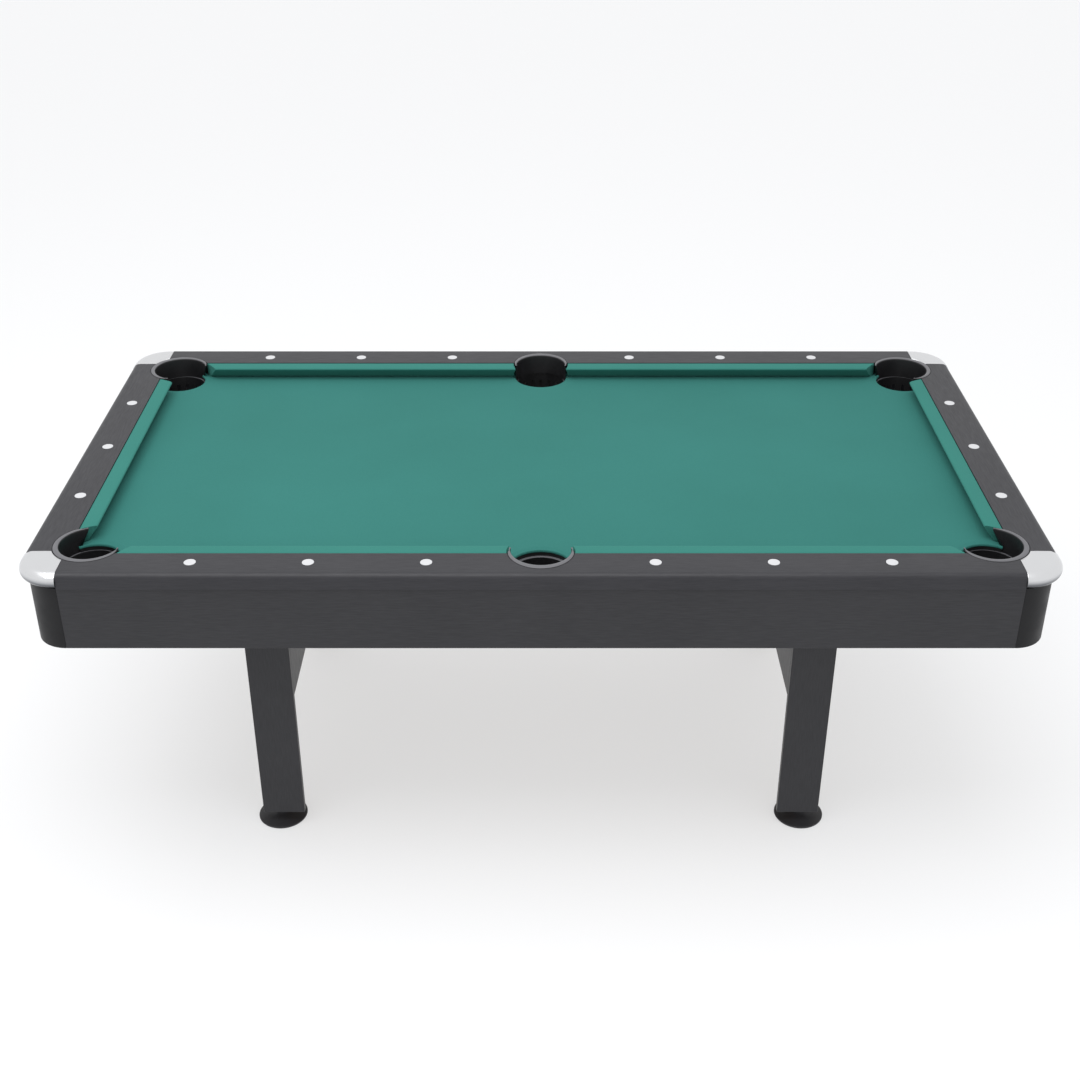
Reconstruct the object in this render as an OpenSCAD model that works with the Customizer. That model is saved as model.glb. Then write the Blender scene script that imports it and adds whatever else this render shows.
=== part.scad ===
// Seven-foot pool table: laminated board rails and aprons, a cloth-covered board bed,
// cloth-covered rubber cushions, six moulded drop pockets and board legs on levelling feet.
// Millimetres. The origin is the middle of the table's outline on the floor, +X runs along
// the table to the right, +Y across it to the rear, +Z up.

/* [Table] */
// Length over the two end rails
table_l = 2134; // [1780:1:2600]
// Width over the two long rails
table_w = 1162; // [970:1:1400]
// Height from the floor to the top of the rails
table_h = 787; // [700:1:950]
// Radius of the table's corners seen from above
corner_r = 80; // [66:1:96]

/* [Rails] */
// Width of a rail's top, from the outer face to the cloth line
rail_w = 88; // [74:1:106]
// Thickness of a rail, and height of its top over the cloth
rail_t = 34; // [29:0.5:41]
// Rounding of a rail's outer top edge
rail_edge_r = 13; // [6:0.5:18]
// Diameter of a sight
sight_d = 25; // [14:0.5:30]
// Depth of a sight's recess in the rail
sight_depth = 2; // [1:0.5:4]
// How far a sight stands proud of the rail
sight_proud = 0.3; // [0.1:0.1:1]
// Distance of a sight's centre from the rail's outer face
sight_inset = 52; // [40:1:60]
// Distance of the first long-rail sight from the middle pocket's centre
sight_first = 234; // [200:1:280]
// Distance of the last long-rail sight from the corner pocket's centre
sight_last = 225; // [190:1:270]
// Distance of an outer end-rail sight from the corner pocket's centre
sight_end = 213; // [180:1:256]

/* [Cushions] */
// How far a cushion's nose stands out from the cloth line
cushion_out = 35; // [30:0.5:42]
// Drop of the nose's upper edge below the rail's top
nose_drop = 2; // [1:0.5:5]
// Height of the nose's flat
nose_h = 3; // [2:0.5:5]
// Thickness of a cushion's foot at the rail, below the undercut
cushion_foot = 12; // [8:0.5:18]
// Gap between a cushion and the bed cloth
cushion_gap = 1; // [0.5:0.5:2]
// Angle at which a long cushion's end opens towards a corner pocket
mitre_long = 37; // [30:1:42]
// Angle at which an end cushion's end opens towards a corner pocket
mitre_end = 26; // [20:1:35]

/* [Bed] */
// Thickness of the bed board
bed_t = 15; // [12:0.5:25]
// Thickness of the bed cloth
cloth_t = 1; // [0.8:0.1:2]
// Width of the eased edge where the cloth rolls into a pocket
roll_w = 14; // [6:0.5:17]
// Depth of that eased edge
roll_drop = 4; // [2:0.5:6]
// How far the cloth runs down inside a pocket hole, below the eased edge
cloth_skirt = 3; // [2:0.5:8]
// Thickness of a cross beam under the bed
beam_t = 18; // [15:0.5:22]
// Height of a cross beam
beam_h = 90; // [75:1:108]
// Distance of each inner cross beam from the table's middle
beam_x = 200; // [120:1:260]

/* [Pockets] */
// Distance of a corner pocket's centre from both outer faces
corner_pocket_in = 126; // [116:1:140]
// Distance of a middle pocket's centre from the long rail's outer face
mid_pocket_in = 96; // [94:0.5:100]
// Outer radius of a corner pocket's rim
corner_rim_r = 74; // [66:0.5:80]
// Width of a corner pocket's rim at its back
corner_rim_w = 13.5; // [11:0.5:16]
// Shift of a corner pocket's mouth from its rim, towards the bed
corner_mouth_off = 3.5; // [1:0.5:5]
// How far a corner pocket's rim reaches past its centre, towards the bed
corner_rim_reach = 37; // [30:0.5:42]
// How far a corner pocket's wall reaches past its centre at the bed
corner_wall_reach = 8.5; // [6:0.5:20]
// Radius of a corner pocket's hole in the cloth
corner_hole_r = 61; // [60:0.5:66]
// Outer radius of a middle pocket's rim
mid_rim_r = 70; // [66:0.5:72]
// Width of a middle pocket's rim at its back
mid_rim_w = 15; // [12:0.5:18]
// Shift of a middle pocket's mouth from its rim, towards the bed
mid_mouth_off = 8; // [5:0.5:9]
// How far a middle pocket's rim reaches past its centre, towards the bed
mid_rim_reach = 14; // [9:0.5:16]
// How far a middle pocket's wall reaches past its centre at the bed
mid_wall_reach = 8; // [6:0.5:9]
// Radius of a middle pocket's hole in the cloth
mid_hole_r = 66; // [62:0.5:68]
// Thickness of a pocket's rim
rim_t = 5; // [3:0.5:8]
// How far the rim stands proud of the rail
rim_proud = 1.5; // [0.5:0.5:3]
// Wall of the pocket mouldings
pocket_wall = 3; // [2:0.5:3.5]
// Radius inside a pocket's cup
cup_r = 60; // [52:0.5:61]
// Depth of a pocket's cup below the bed board
cup_h = 80; // [66:1:96]
// Radius of the cup's flange
cup_flange_r = 74; // [71:0.5:75]

/* [Aprons] */
// Height of the aprons
apron_h = 145; // [120:1:174]
// Thickness of the aprons
apron_t = 15; // [12:0.5:18]
// Setback of the long aprons behind the rail's outer face
apron_set_long = 4; // [2:0.5:6]
// Setback of the end aprons behind the rail's outer face
apron_set_end = 13; // [8:0.5:16]
// Outer radius of the aprons' corner mouldings
apron_corner_r = 72; // [60:1:80]
// Wall of the corner mouldings
moulding_wall = 4; // [3:0.5:6]
// Thickness of the corner brackets
bracket_t = 3; // [2:0.5:4]
// Length of each end of a corner bracket
bracket_leg = 50; // [40:1:60]
// Height of a corner bracket
bracket_h = 70; // [50:1:84]

/* [Corner caps] */
// Length of long rail that a cap replaces
cap_long = 87; // [82:1:100]
// Length of end rail that a cap replaces
cap_end = 96; // [90:1:105]
// How far a cap stands proud of the rails' faces
cap_proud = 2.5; // [1:0.5:4]
// How far a cap stands proud of the rails' tops
cap_rise = 1; // [0.5:0.5:3]
// Rounding of a cap's outer top edge
cap_edge_r = 16; // [10:0.5:20]
// Wall of a cap
cap_wall = 3; // [2:0.5:4]

/* [Legs] */
// Width of a leg's face board
leg_w = 96; // [80:1:115]
// Depth of a leg, over both boards
leg_d = 100; // [84:1:120]
// Thickness of the leg boards
leg_t = 16; // [14:0.5:19]
// Distance of a leg's middle from the table's end
leg_in_end = 465.5; // [400:0.5:520]
// Distance of a leg's face from the long rail's outer face
leg_in_side = 156; // [135:1:180]
// Gap between the floor and the bottom of a leg
leg_clear = 42; // [40:1:50]
// Thickness of the panel that joins two legs
panel_t = 16; // [14:0.5:19]
// Height of that panel below the bed board
panel_h = 368; // [307:1:440]
// Width of the foot block along the table
block_w = 40; // [34:1:48]
// Depth of the foot block across the table
block_d = 60; // [50:1:72]
// Height of the foot block
block_h = 80; // [72:1:96]

/* [Feet] */
// Radius of a foot's disc
foot_r = 57; // [45:1:66]
// Thickness of the disc's edge
foot_edge = 5; // [3:0.5:7]
// Radius of the disc's hub
hub_r = 19; // [15:0.5:22]
// Height of the disc's hub
hub_h = 22; // [18:0.5:24]
// Diameter of the levelling stud
stud_d = 12; // [10:0.5:14]
// How far the foot can be screwed out
foot_travel = 20; // [10:1:24]
// Radial clearance between the stud and its bores
stud_fit = 0.05; // [0.02:0.01:0.08]

/* [Fasteners] */
// Thread diameter of the bolts
bolt_d = 8; // [6:0.5:10]
// Width across the flats of a bolt's head
bolt_af = 13; // [10:0.5:16]
// Height of a bolt's head
bolt_head = 5.5; // [4:0.5:7]
// Diameter of the washers
washer_d = 20; // [16:0.5:24]
// Thickness of the washers
washer_t = 1.6; // [1:0.1:2.5]
// Depth of a rail bolt in its rail
bolt_grip = 20; // [14:1:24]
// Distance of a rail bolt from the rail's outer face
bolt_inset = 50; // [46:1:56]

/* [Hidden] */
$fn = 96;

laminate = [0.27, 0.27, 0.28];
pocket_black = [0.13, 0.13, 0.14];
cloth_green = [0.20, 0.52, 0.48];
board = [0.62, 0.50, 0.36];
silver = [0.85, 0.86, 0.87];
steel = [0.62, 0.63, 0.65];

// margin that a cut runs past the face it opens
over = 1;
// clearance round a pocket moulding in the wood
pocket_fit = 0.3;

half_l = table_l / 2;
half_w = table_w / 2;
cloth_top = table_h - rail_t;
bed_top = cloth_top - cloth_t;
bed_bottom = bed_top - bed_t;
apron_bottom = cloth_top - apron_h;

corner_x = half_l - corner_pocket_in;
corner_y = half_w - corner_pocket_in;
mid_y = half_w - mid_pocket_in;

rail_end_x = half_l - cap_long;
rail_end_y = half_w - cap_end;
cloth_line_x = half_l - rail_w;
cloth_line_y = half_w - rail_w;

apron_in_x = half_l - apron_set_end - apron_t;
apron_in_y = half_w - apron_set_long - apron_t;
apron_seam_x = half_l - apron_set_end - apron_corner_r;
apron_seam_y = half_w - apron_set_long - apron_corner_r;

leg_x = half_l - leg_in_end;
leg_face_y = half_w - leg_in_side;
leg_inner_x = leg_x - leg_w / 2;
leg_outer_x = leg_x + leg_w / 2;
foot_x = leg_outer_x - leg_t - block_w / 2;
foot_y = leg_face_y - leg_t - block_d / 2;

// Each row is one pocket's rim radius, rim width, mouth shift, rim reach, wall reach, hole radius.
CORNER = [corner_rim_r, corner_rim_w, corner_mouth_off, corner_rim_reach, corner_wall_reach, corner_hole_r];
MIDDLE = [mid_rim_r, mid_rim_w, mid_mouth_off, mid_rim_reach, mid_wall_reach, mid_hole_r];
function rim_r(p) = p[0];
function mouth_r(p) = p[0] - p[1] + p[2];
function mouth_off(p) = p[2];
function reach(p) = p[3];
function wall_reach(p) = p[4];
function hole_r(p) = p[5];

// ---- placing ----

// The quarter of the table that sx and sy name, from the one at the right and rear.
module quarter(sx, sy) {
    mirror([sx < 0 ? 1 : 0, 0, 0])
        mirror([0, sy < 0 ? 1 : 0, 0])
            children();
}

module all_quarters() {
    for (sx = [-1, 1], sy = [-1, 1])
        quarter(sx, sy) children();
}

// A pocket's own frame, with its centre at the origin and +X pointing out of the table.
module at_corner_pocket() {
    translate([corner_x, corner_y, 0]) rotate(45) children();
}

module at_middle_pocket() {
    translate([0, mid_y, 0]) rotate(90) children();
}

// An outline in X and Z drawn out along the table, or across it.
module along_x(length) {
    translate([-length / 2, 0, 0])
        rotate([90, 0, 90])
            linear_extrude(length) children();
}

module along_y(length) {
    translate([0, length / 2, 0])
        rotate([90, 0, 0])
            linear_extrude(length) children();
}

// A bar's section with its outer top edge rounded.
module edge_profile(w, h, r) {
    union() {
        square([w - r, h]);
        square([w, h - r]);
        translate([w - r, h - r]) circle(r);
    }
}

// ---- pocket outlines ----

// The side of a pocket that its moulding covers as far as a given reach, and the side of the bed.
module rim_side(p, covered) {
    span = 2 * rim_r(p);
    translate([-covered, -span]) square([2 * span, 2 * span]);
}

module bed_side(p) {
    span = 2 * rim_r(p);
    translate([-wall_reach(p) - 2 * span, -span]) square([2 * span, 2 * span]);
}

// The hole through the bed: round on the bed side, and wide enough for the liner on the other.
module hole_outline(p, grow) {
    circle(hole_r(p) + grow);
    intersection() {
        translate([-mouth_off(p), 0]) circle(mouth_r(p) + pocket_wall + pocket_fit);
        rim_side(p, wall_reach(p) + pocket_fit);
    }
}

// A ring on the bed side of a pocket, from an outline in radius and height.
module bed_side_ring(p) {
    intersection() {
        rotate_extrude() children();
        translate([0, 0, bed_bottom - over]) linear_extrude(cloth_top - bed_bottom + 2 * over) bed_side(p);
    }
}

module each_pocket_cut() {
    all_quarters() at_corner_pocket() children(0);
    for (sy = [-1, 1]) quarter(1, sy) at_middle_pocket() children(1);
}

// ---- bed ----

module rail_bolt_places() {
    for (sx = [-1, 1], sy = [-1, 1]) {
        for (x = [120, 400, corner_x - 181])
            translate([sx * x, sy * (half_w - bolt_inset), 0]) children();
        translate([sx * (half_l - bolt_inset), sy * (corner_y - 205), 0]) children();
    }
    for (sx = [-1, 1])
        translate([sx * (half_l - bolt_inset), 0, 0]) children();
}

module rail_bolt_hole() {
    translate([0, 0, bed_bottom - over])
        cylinder(d = bolt_d, h = bed_t + cloth_t + bolt_grip + 2 * over);
}

module bed_panel_cut(p) {
    translate([0, 0, bed_bottom - over]) linear_extrude(bed_t + 2 * over) hole_outline(p, cloth_t);
    bed_side_ring(p)
        polygon([
            [0, bed_top - roll_drop], [hole_r(p) + cloth_t, bed_top - roll_drop],
            [hole_r(p) + roll_w, bed_top], [hole_r(p) + roll_w, bed_top + over], [0, bed_top + over]
        ]);
}

// A sheet that fits inside the aprons with a gap all round, its corners cut to the mouldings.
module bed_sheet(gap, t) {
    difference() {
        translate([-(apron_in_x - gap), -(apron_in_y - gap), 0])
            cube([2 * (apron_in_x - gap), 2 * (apron_in_y - gap), t]);
        all_quarters()
            translate([apron_seam_x, apron_seam_y, -over])
                linear_extrude(t + 2 * over)
                    difference() {
                        square(apron_corner_r);
                        circle(apron_corner_r - moulding_wall - gap);
                    }
    }
}

module bed_panel() {
    gap = 1;
    color(board)
    difference() {
        translate([0, 0, bed_bottom]) bed_sheet(gap, bed_t);
        each_pocket_cut() {
            bed_panel_cut(CORNER);
            bed_panel_cut(MIDDLE);
        }
        rail_bolt_places() rail_bolt_hole();
    }
}

module bed_cloth_cut(p) {
    translate([0, 0, bed_top - over])
        linear_extrude(cloth_t + 2 * over) {
            hole_outline(p, 0);
            intersection() {
                circle(hole_r(p) + roll_w);
                bed_side(p);
            }
        }
}

// The cloth where it rolls over the bed's edge and runs down inside the hole.
module bed_cloth_roll(p) {
    bed_side_ring(p)
        polygon([
            [hole_r(p), bed_top - roll_drop - cloth_skirt],
            [hole_r(p) + cloth_t, bed_top - roll_drop - cloth_skirt],
            [hole_r(p) + cloth_t, bed_top - roll_drop], [hole_r(p) + roll_w, bed_top],
            [hole_r(p) + roll_w, cloth_top], [hole_r(p), cloth_top - roll_drop]
        ]);
}

module bed_cloth() {
    hem = 4;
    color(cloth_green)
    union() {
        difference() {
            translate([0, 0, bed_top]) bed_sheet(hem, cloth_t);
            each_pocket_cut() {
                bed_cloth_cut(CORNER);
                bed_cloth_cut(MIDDLE);
            }
            rail_bolt_places() rail_bolt_hole();
        }
        each_pocket_cut() {
            bed_cloth_roll(CORNER);
            bed_cloth_roll(MIDDLE);
        }
    }
}

module leg_bolt_places() {
    z = bed_bottom - beam_h / 2;
    for (sx = [-1, 1], y = [-0.8, -0.35, 0.35, 0.8])
        translate([sx * leg_inner_x, y * (leg_face_y - leg_t), z])
            rotate([0, sx * 90, 0]) children();
}

module bed_beams() {
    gap = 1;
    color(board)
    difference() {
        for (x = [-leg_inner_x, -beam_x - beam_t, beam_x, leg_inner_x - beam_t])
            translate([x, -(apron_in_y - gap), bed_bottom - beam_h])
                cube([beam_t, 2 * (apron_in_y - gap), beam_h]);
        leg_bolt_places() leg_bolt_hole();
    }
}

// ---- rails ----

module rail_pocket_cuts() {
    all_quarters() at_corner_pocket() rail_pocket_cut(CORNER);
    for (sy = [-1, 1]) quarter(1, sy) at_middle_pocket() rail_pocket_cut(MIDDLE);
}

module rail_pocket_cut(p) {
    translate([0, 0, cloth_top - over])
        cylinder(r = rim_r(p) + pocket_fit, h = rail_t + 2 * over);
}

module sight_places() {
    pitch = (corner_x - sight_last - sight_first) / 2;
    z = table_h - sight_depth;
    for (sx = [-1, 1], sy = [-1, 1]) {
        for (i = [0 : 2])
            translate([sx * (sight_first + i * pitch), sy * (half_w - sight_inset), z]) children();
        translate([sx * (half_l - sight_inset), sy * (corner_y - sight_end), z]) children();
    }
    for (sx = [-1, 1])
        translate([sx * (half_l - sight_inset), 0, z]) children();
}

module sight_recess() {
    cylinder(d = sight_d, h = sight_depth + over);
}

module rail_sights() {
    slack = 0.1;
    color("white")
    sight_places() cylinder(d = sight_d - 2 * slack, h = sight_depth + sight_proud);
}

// A long rail, at the rear for sy = 1 and at the front for sy = -1.
module long_rail(sy) {
    color(laminate)
    difference() {
        quarter(1, sy)
            translate([0, cloth_line_y, cloth_top])
                along_x(2 * rail_end_x) edge_profile(rail_w, rail_t, rail_edge_r);
        rail_pocket_cuts();
        sight_places() sight_recess();
        rail_bolt_places() rail_bolt_hole();
    }
}

module end_rail(sx) {
    color(laminate)
    difference() {
        quarter(sx, 1)
            translate([cloth_line_x, 0, cloth_top])
                along_y(2 * rail_end_y) edge_profile(rail_w, rail_t, rail_edge_r);
        rail_pocket_cuts();
        sight_places() sight_recess();
        rail_bolt_places() rail_bolt_hole();
    }
}

module bolt_head() {
    translate([0, 0, -washer_t - bolt_head])
        cylinder(d = bolt_af / cos(30), h = bolt_head, $fn = 6);
    translate([0, 0, -washer_t])
        cylinder(d = washer_d, h = washer_t);
}

module rail_bolts() {
    slack = 0.2;
    color(steel)
    rail_bolt_places()
        translate([0, 0, bed_bottom]) {
            bolt_head();
            translate([0, 0, -washer_t])
                cylinder(d = bolt_d - 2 * slack, h = washer_t + bed_t + cloth_t + bolt_grip);
        }
}

// ---- cushions ----

// Section of a cushion, with its back on the cloth line and its nose towards -X.
module cushion_profile() {
    top = rail_t - 0.5;
    nose_top = rail_t - nose_drop;
    chamfer = 2.5;
    polygon([
        [0, cushion_gap], [-cushion_foot, cushion_gap],
        [-cushion_out, nose_top - nose_h], [-cushion_out, nose_top],
        [-cushion_out + chamfer, top], [0, top]
    ]);
}

// Distance from a corner pocket's centre to where its rim crosses the cloth line.
function rim_cross() =
    sqrt(pow(corner_rim_r + pocket_fit, 2) - pow(corner_pocket_in - rail_w, 2));

module long_cushion(sx, sy) {
    end_x = corner_x - rim_cross();
    nose_x = end_x - cushion_out * tan(mitre_long);
    color(cloth_green)
    quarter(sx, sy)
    difference() {
        intersection() {
            translate([end_x / 2, cloth_line_y, cloth_top]) along_x(end_x) cushion_profile();
            translate([0, 0, cloth_top])
                linear_extrude(rail_t)
                    polygon([
                        [0, cloth_line_y - cushion_out], [nose_x, cloth_line_y - cushion_out],
                        [end_x, cloth_line_y], [0, cloth_line_y]
                    ]);
        }
        at_middle_pocket() rail_pocket_cut(MIDDLE);
    }
}

module end_cushion(sx) {
    end_y = corner_y - rim_cross();
    nose_y = end_y - cushion_out * tan(mitre_end);
    nose_x = cloth_line_x - cushion_out;
    color(cloth_green)
    quarter(sx, 1)
    intersection() {
        translate([cloth_line_x, 0, cloth_top]) along_y(2 * end_y) cushion_profile();
        translate([0, 0, cloth_top])
            linear_extrude(rail_t)
                polygon([
                    [cloth_line_x, -end_y], [cloth_line_x, end_y],
                    [nose_x, nose_y], [nose_x, -nose_y]
                ]);
    }
}

// ---- corner caps ----

// The solid form of a corner, as wide as the rails and drawn in by inset all round.
module corner_form(inset, h) {
    r = corner_r + cap_proud - inset;
    edge = cap_edge_r - inset;
    long_leg = corner_r < cap_long ? cap_long - corner_r - inset : 0;
    end_leg = corner_r < cap_end ? cap_end - corner_r - inset : 0;
    translate([half_l - corner_r, half_w - corner_r, cloth_top]) {
        rotate_extrude(angle = 90) edge_profile(r, h, edge);
        translate([-long_leg, 0, 0])
            rotate([90, 0, 90]) linear_extrude(long_leg) edge_profile(r, h, edge);
        rotate([90, 0, 0]) linear_extrude(end_leg) edge_profile(r, h, edge);
        translate([-long_leg, -end_leg, 0]) cube([long_leg, end_leg, h]);
    }
}

module corner_cap(sx, sy) {
    h = rail_t + cap_rise;
    color(silver)
    quarter(sx, sy)
    difference() {
        corner_form(0, h);
        at_corner_pocket()
            translate([0, 0, cloth_top - over])
                cylinder(r = corner_rim_r + pocket_fit, h = h + 2 * over);
        difference() {
            translate([0, 0, -over]) corner_form(cap_wall, h - cap_wall + over);
            at_corner_pocket()
                translate([0, 0, cloth_top - 2 * over])
                    cylinder(r = corner_rim_r + pocket_fit + cap_wall, h = h + 2 * over);
        }
    }
}

// ---- pockets ----

// A rim on a curved wall, whose ends slope back from the rim's tips down to the bed.
module pocket_liner(p) {
    rim_top = table_h + rim_proud;
    rim_low = rim_top - rim_t;
    span = 2 * rim_r(p);
    color(pocket_black)
    difference() {
        union() {
            translate([0, 0, rim_low])
                linear_extrude(rim_t)
                    intersection() {
                        circle(rim_r(p));
                        rim_side(p, reach(p));
                    }
            translate([0, 0, bed_bottom])
                linear_extrude(rim_top - bed_bottom)
                    intersection() {
                        translate([-mouth_off(p), 0]) circle(mouth_r(p) + pocket_wall);
                        rim_side(p, reach(p));
                    }
        }
        translate([-mouth_off(p), 0, bed_bottom - over])
            cylinder(r = mouth_r(p), h = rim_top - bed_bottom + 2 * over);
        translate([0, span / 2, 0])
            rotate([90, 0, 0])
                linear_extrude(span)
                    polygon([
                        [-reach(p), rim_low], [-wall_reach(p), cloth_top],
                        [-wall_reach(p), bed_bottom - over],
                        [-reach(p) - over, bed_bottom - over], [-reach(p) - over, rim_low]
                    ]);
    }
}

// A cup with a slotted wall and floor, screwed up under the bed by its flange.
module pocket_cup() {
    slots = 16;
    slot_w = 8;
    slot_low = 22;
    slot_top = cup_h - 21;
    floor_slots = 8;
    floor_slot_w = 7;
    bowl_h = 20;
    outer_r = cup_r + pocket_wall;
    color(pocket_black)
    translate([0, 0, bed_bottom - cup_h])
        difference() {
            rotate_extrude()
                polygon([
                    [0, 0], [outer_r - 14, 0], [outer_r, bowl_h], [outer_r, cup_h - pocket_wall],
                    [cup_flange_r, cup_h - pocket_wall], [cup_flange_r, cup_h], [cup_r, cup_h],
                    [cup_r, bowl_h + 1], [cup_r - 13, pocket_wall], [0, pocket_wall]
                ]);
            for (i = [0 : slots - 1])
                rotate(i * 360 / slots)
                    translate([cup_r - 2, -slot_w / 2, slot_low])
                        cube([pocket_wall + 6, slot_w, slot_top - slot_low]);
            for (i = [0 : floor_slots - 1])
                rotate(i * 360 / floor_slots)
                    translate([13, -floor_slot_w / 2, -over])
                        cube([cup_r - 34, floor_slot_w, pocket_wall + 2 * over]);
        }
}

// ---- aprons ----

module long_apron(sy) {
    color(laminate)
    quarter(1, sy)
        translate([-apron_seam_x, apron_in_y, apron_bottom])
            cube([2 * apron_seam_x, apron_t, apron_h]);
}

module end_apron(sx) {
    color(laminate)
    quarter(sx, 1)
        translate([apron_in_x, -apron_seam_y, apron_bottom])
            cube([apron_t, 2 * apron_seam_y, apron_h]);
}

// A quarter-round moulding with a web at each end that butts on an apron.
module apron_corner(sx, sy) {
    r = apron_corner_r;
    color(pocket_black)
    quarter(sx, sy)
        translate([apron_seam_x, apron_seam_y, apron_bottom])
            linear_extrude(apron_h) {
                intersection() {
                    difference() {
                        circle(r);
                        circle(r - moulding_wall);
                    }
                    square(r);
                }
                translate([0, r - apron_t]) square([moulding_wall, apron_t - moulding_wall / 2]);
                translate([r - apron_t, 0]) square([apron_t - moulding_wall / 2, moulding_wall]);
            }
}

bracket_x = apron_seam_x - 7;
bracket_run = apron_in_x - bracket_x;
bracket_z = bed_bottom - 17 - bracket_h;

// A steel strip bent to cross the corner behind the moulding.
module corner_brackets() {
    t = bracket_t;
    bend = t * tan(22.5);
    far_y = apron_in_y - bracket_run;
    color(steel)
    all_quarters()
        translate([0, 0, bracket_z])
            linear_extrude(bracket_h)
                polygon([
                    [bracket_x - bracket_leg, apron_in_y], [bracket_x, apron_in_y],
                    [apron_in_x, far_y], [apron_in_x, far_y - bracket_leg],
                    [apron_in_x - t, far_y - bracket_leg], [apron_in_x - t, far_y - bend],
                    [bracket_x - bend, apron_in_y - t], [bracket_x - bracket_leg, apron_in_y - t]
                ]);
}

module bracket_screws() {
    head_d = 9;
    head_h = 3;
    color(steel)
    all_quarters()
        for (z = [0.25, 0.75], run = [0.3, 0.75]) {
            translate([bracket_x - run * bracket_leg, apron_in_y - bracket_t, bracket_z + z * bracket_h])
                rotate([90, 0, 0]) cylinder(d = head_d, h = head_h);
            translate([
                apron_in_x - bracket_t,
                apron_in_y - bracket_run - run * bracket_leg,
                bracket_z + z * bracket_h
            ])
                rotate([0, -90, 0]) cylinder(d = head_d, h = head_h);
        }
}

// ---- legs ----

module leg(sx, sy) {
    h = bed_bottom - leg_clear;
    color(laminate)
    quarter(sx, sy)
        translate([0, 0, leg_clear])
            linear_extrude(h) {
                translate([leg_inner_x, leg_face_y - leg_t]) square([leg_w, leg_t]);
                translate([leg_outer_x - leg_t, leg_face_y - leg_d]) square([leg_t, leg_d - leg_t / 2]);
            }
}

module leg_panel(sx) {
    run = leg_face_y - leg_t;
    color(laminate)
    difference() {
        quarter(sx, 1)
            translate([leg_inner_x, -run, bed_bottom - panel_h])
                cube([panel_t, 2 * run, panel_h]);
        leg_bolt_places() leg_bolt_hole();
    }
}

module leg_bolt_hole() {
    translate([0, 0, -beam_t - over])
        cylinder(d = bolt_d, h = beam_t + panel_t + 2 * over);
}

module leg_bolts() {
    slack = 0.2;
    nut_h = 6.5;
    color(steel)
    leg_bolt_places() {
        translate([0, 0, -beam_t]) bolt_head();
        translate([0, 0, panel_t]) cylinder(d = washer_d, h = washer_t);
        translate([0, 0, panel_t + washer_t])
            cylinder(d = bolt_af / cos(30), h = nut_h, $fn = 6);
        translate([0, 0, -beam_t - washer_t])
            cylinder(d = bolt_d - 2 * slack, h = beam_t + panel_t + 2 * washer_t + nut_h + 3);
    }
}

insert_r = stud_d / 2 + 4;
insert_h = 26;
insert_flange_r = stud_d / 2 + 8;
insert_flange_t = 2;

module at_each_foot() {
    all_quarters() translate([foot_x, foot_y, 0]) children();
}

module leg_blocks() {
    stud_room = 68;
    color(board)
    difference() {
        all_quarters()
            translate([leg_outer_x - leg_t - block_w, leg_face_y - leg_t - block_d, leg_clear])
                cube([block_w, block_d, block_h]);
        at_each_foot() {
            translate([0, 0, leg_clear - over]) cylinder(r = insert_r, h = insert_h + over);
            translate([0, 0, leg_clear - over]) cylinder(r = insert_flange_r, h = insert_flange_t + over);
            translate([0, 0, leg_clear]) cylinder(d = stud_d + 2, h = stud_room);
        }
    }
}

module foot_inserts() {
    color(steel)
    at_each_foot()
        translate([0, 0, leg_clear])
            difference() {
                union() {
                    cylinder(r = insert_r, h = insert_h);
                    cylinder(r = insert_flange_r, h = insert_flange_t);
                }
                translate([0, 0, -over])
                    cylinder(r = stud_d / 2 + stud_fit, h = insert_h + 2 * over);
            }
}

// ---- feet ----

seat_gap = 0.2;
seat_z = 9;
collar_t = 4;
nut_t = 8;

// The stud stands in the foot's hub, and carries a collar and a lock nut under the leg.
module foot_stud(sx, sy) {
    nut_af = 19;
    nut_gap = 0.5;
    top = leg_clear + insert_h + foot_travel + 12;
    color(steel)
    quarter(sx, sy)
        translate([foot_x, foot_y, 0]) {
            translate([0, 0, seat_z + seat_gap]) cylinder(d = stud_d, h = top - seat_z - seat_gap);
            translate([0, 0, hub_h + seat_gap]) cylinder(r = hub_r - 5, h = collar_t);
            translate([0, 0, leg_clear - nut_gap - nut_t])
                cylinder(d = nut_af / cos(30), h = nut_t, $fn = 6);
        }
}

module foot_pad(sx, sy) {
    cone_z = 14;
    color(pocket_black)
    quarter(sx, sy)
        translate([foot_x, foot_y, 0])
            difference() {
                rotate_extrude()
                    polygon([
                        [0, 0], [foot_r - 1.5, 0], [foot_r, 1.5], [foot_r, foot_edge],
                        [hub_r + 4, cone_z], [hub_r, cone_z + 3], [hub_r, hub_h - 1.5],
                        [hub_r - 1.5, hub_h], [0, hub_h]
                    ]);
                translate([0, 0, seat_z])
                    cylinder(r = stud_d / 2 + stud_fit, h = hub_h);
            }
}

bed_panel();
bed_cloth();
bed_beams();
long_rail(-1);  // rail_front
long_rail(1);  // rail_rear
end_rail(-1);  // rail_left
end_rail(1);  // rail_right
rail_sights();
rail_bolts();
long_cushion(-1, -1);  // cushion_front_left
long_cushion(1, -1);  // cushion_front_right
long_cushion(-1, 1);  // cushion_rear_left
long_cushion(1, 1);  // cushion_rear_right
end_cushion(-1);  // cushion_left
end_cushion(1);  // cushion_right
corner_cap(-1, -1);  // corner_cap_front_left
corner_cap(1, -1);  // corner_cap_front_right
corner_cap(-1, 1);  // corner_cap_rear_left
corner_cap(1, 1);  // corner_cap_rear_right
quarter(-1, -1) at_corner_pocket() pocket_liner(CORNER);  // pocket_liner_front_left
quarter(1, -1) at_corner_pocket() pocket_liner(CORNER);  // pocket_liner_front_right
quarter(-1, 1) at_corner_pocket() pocket_liner(CORNER);  // pocket_liner_rear_left
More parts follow.
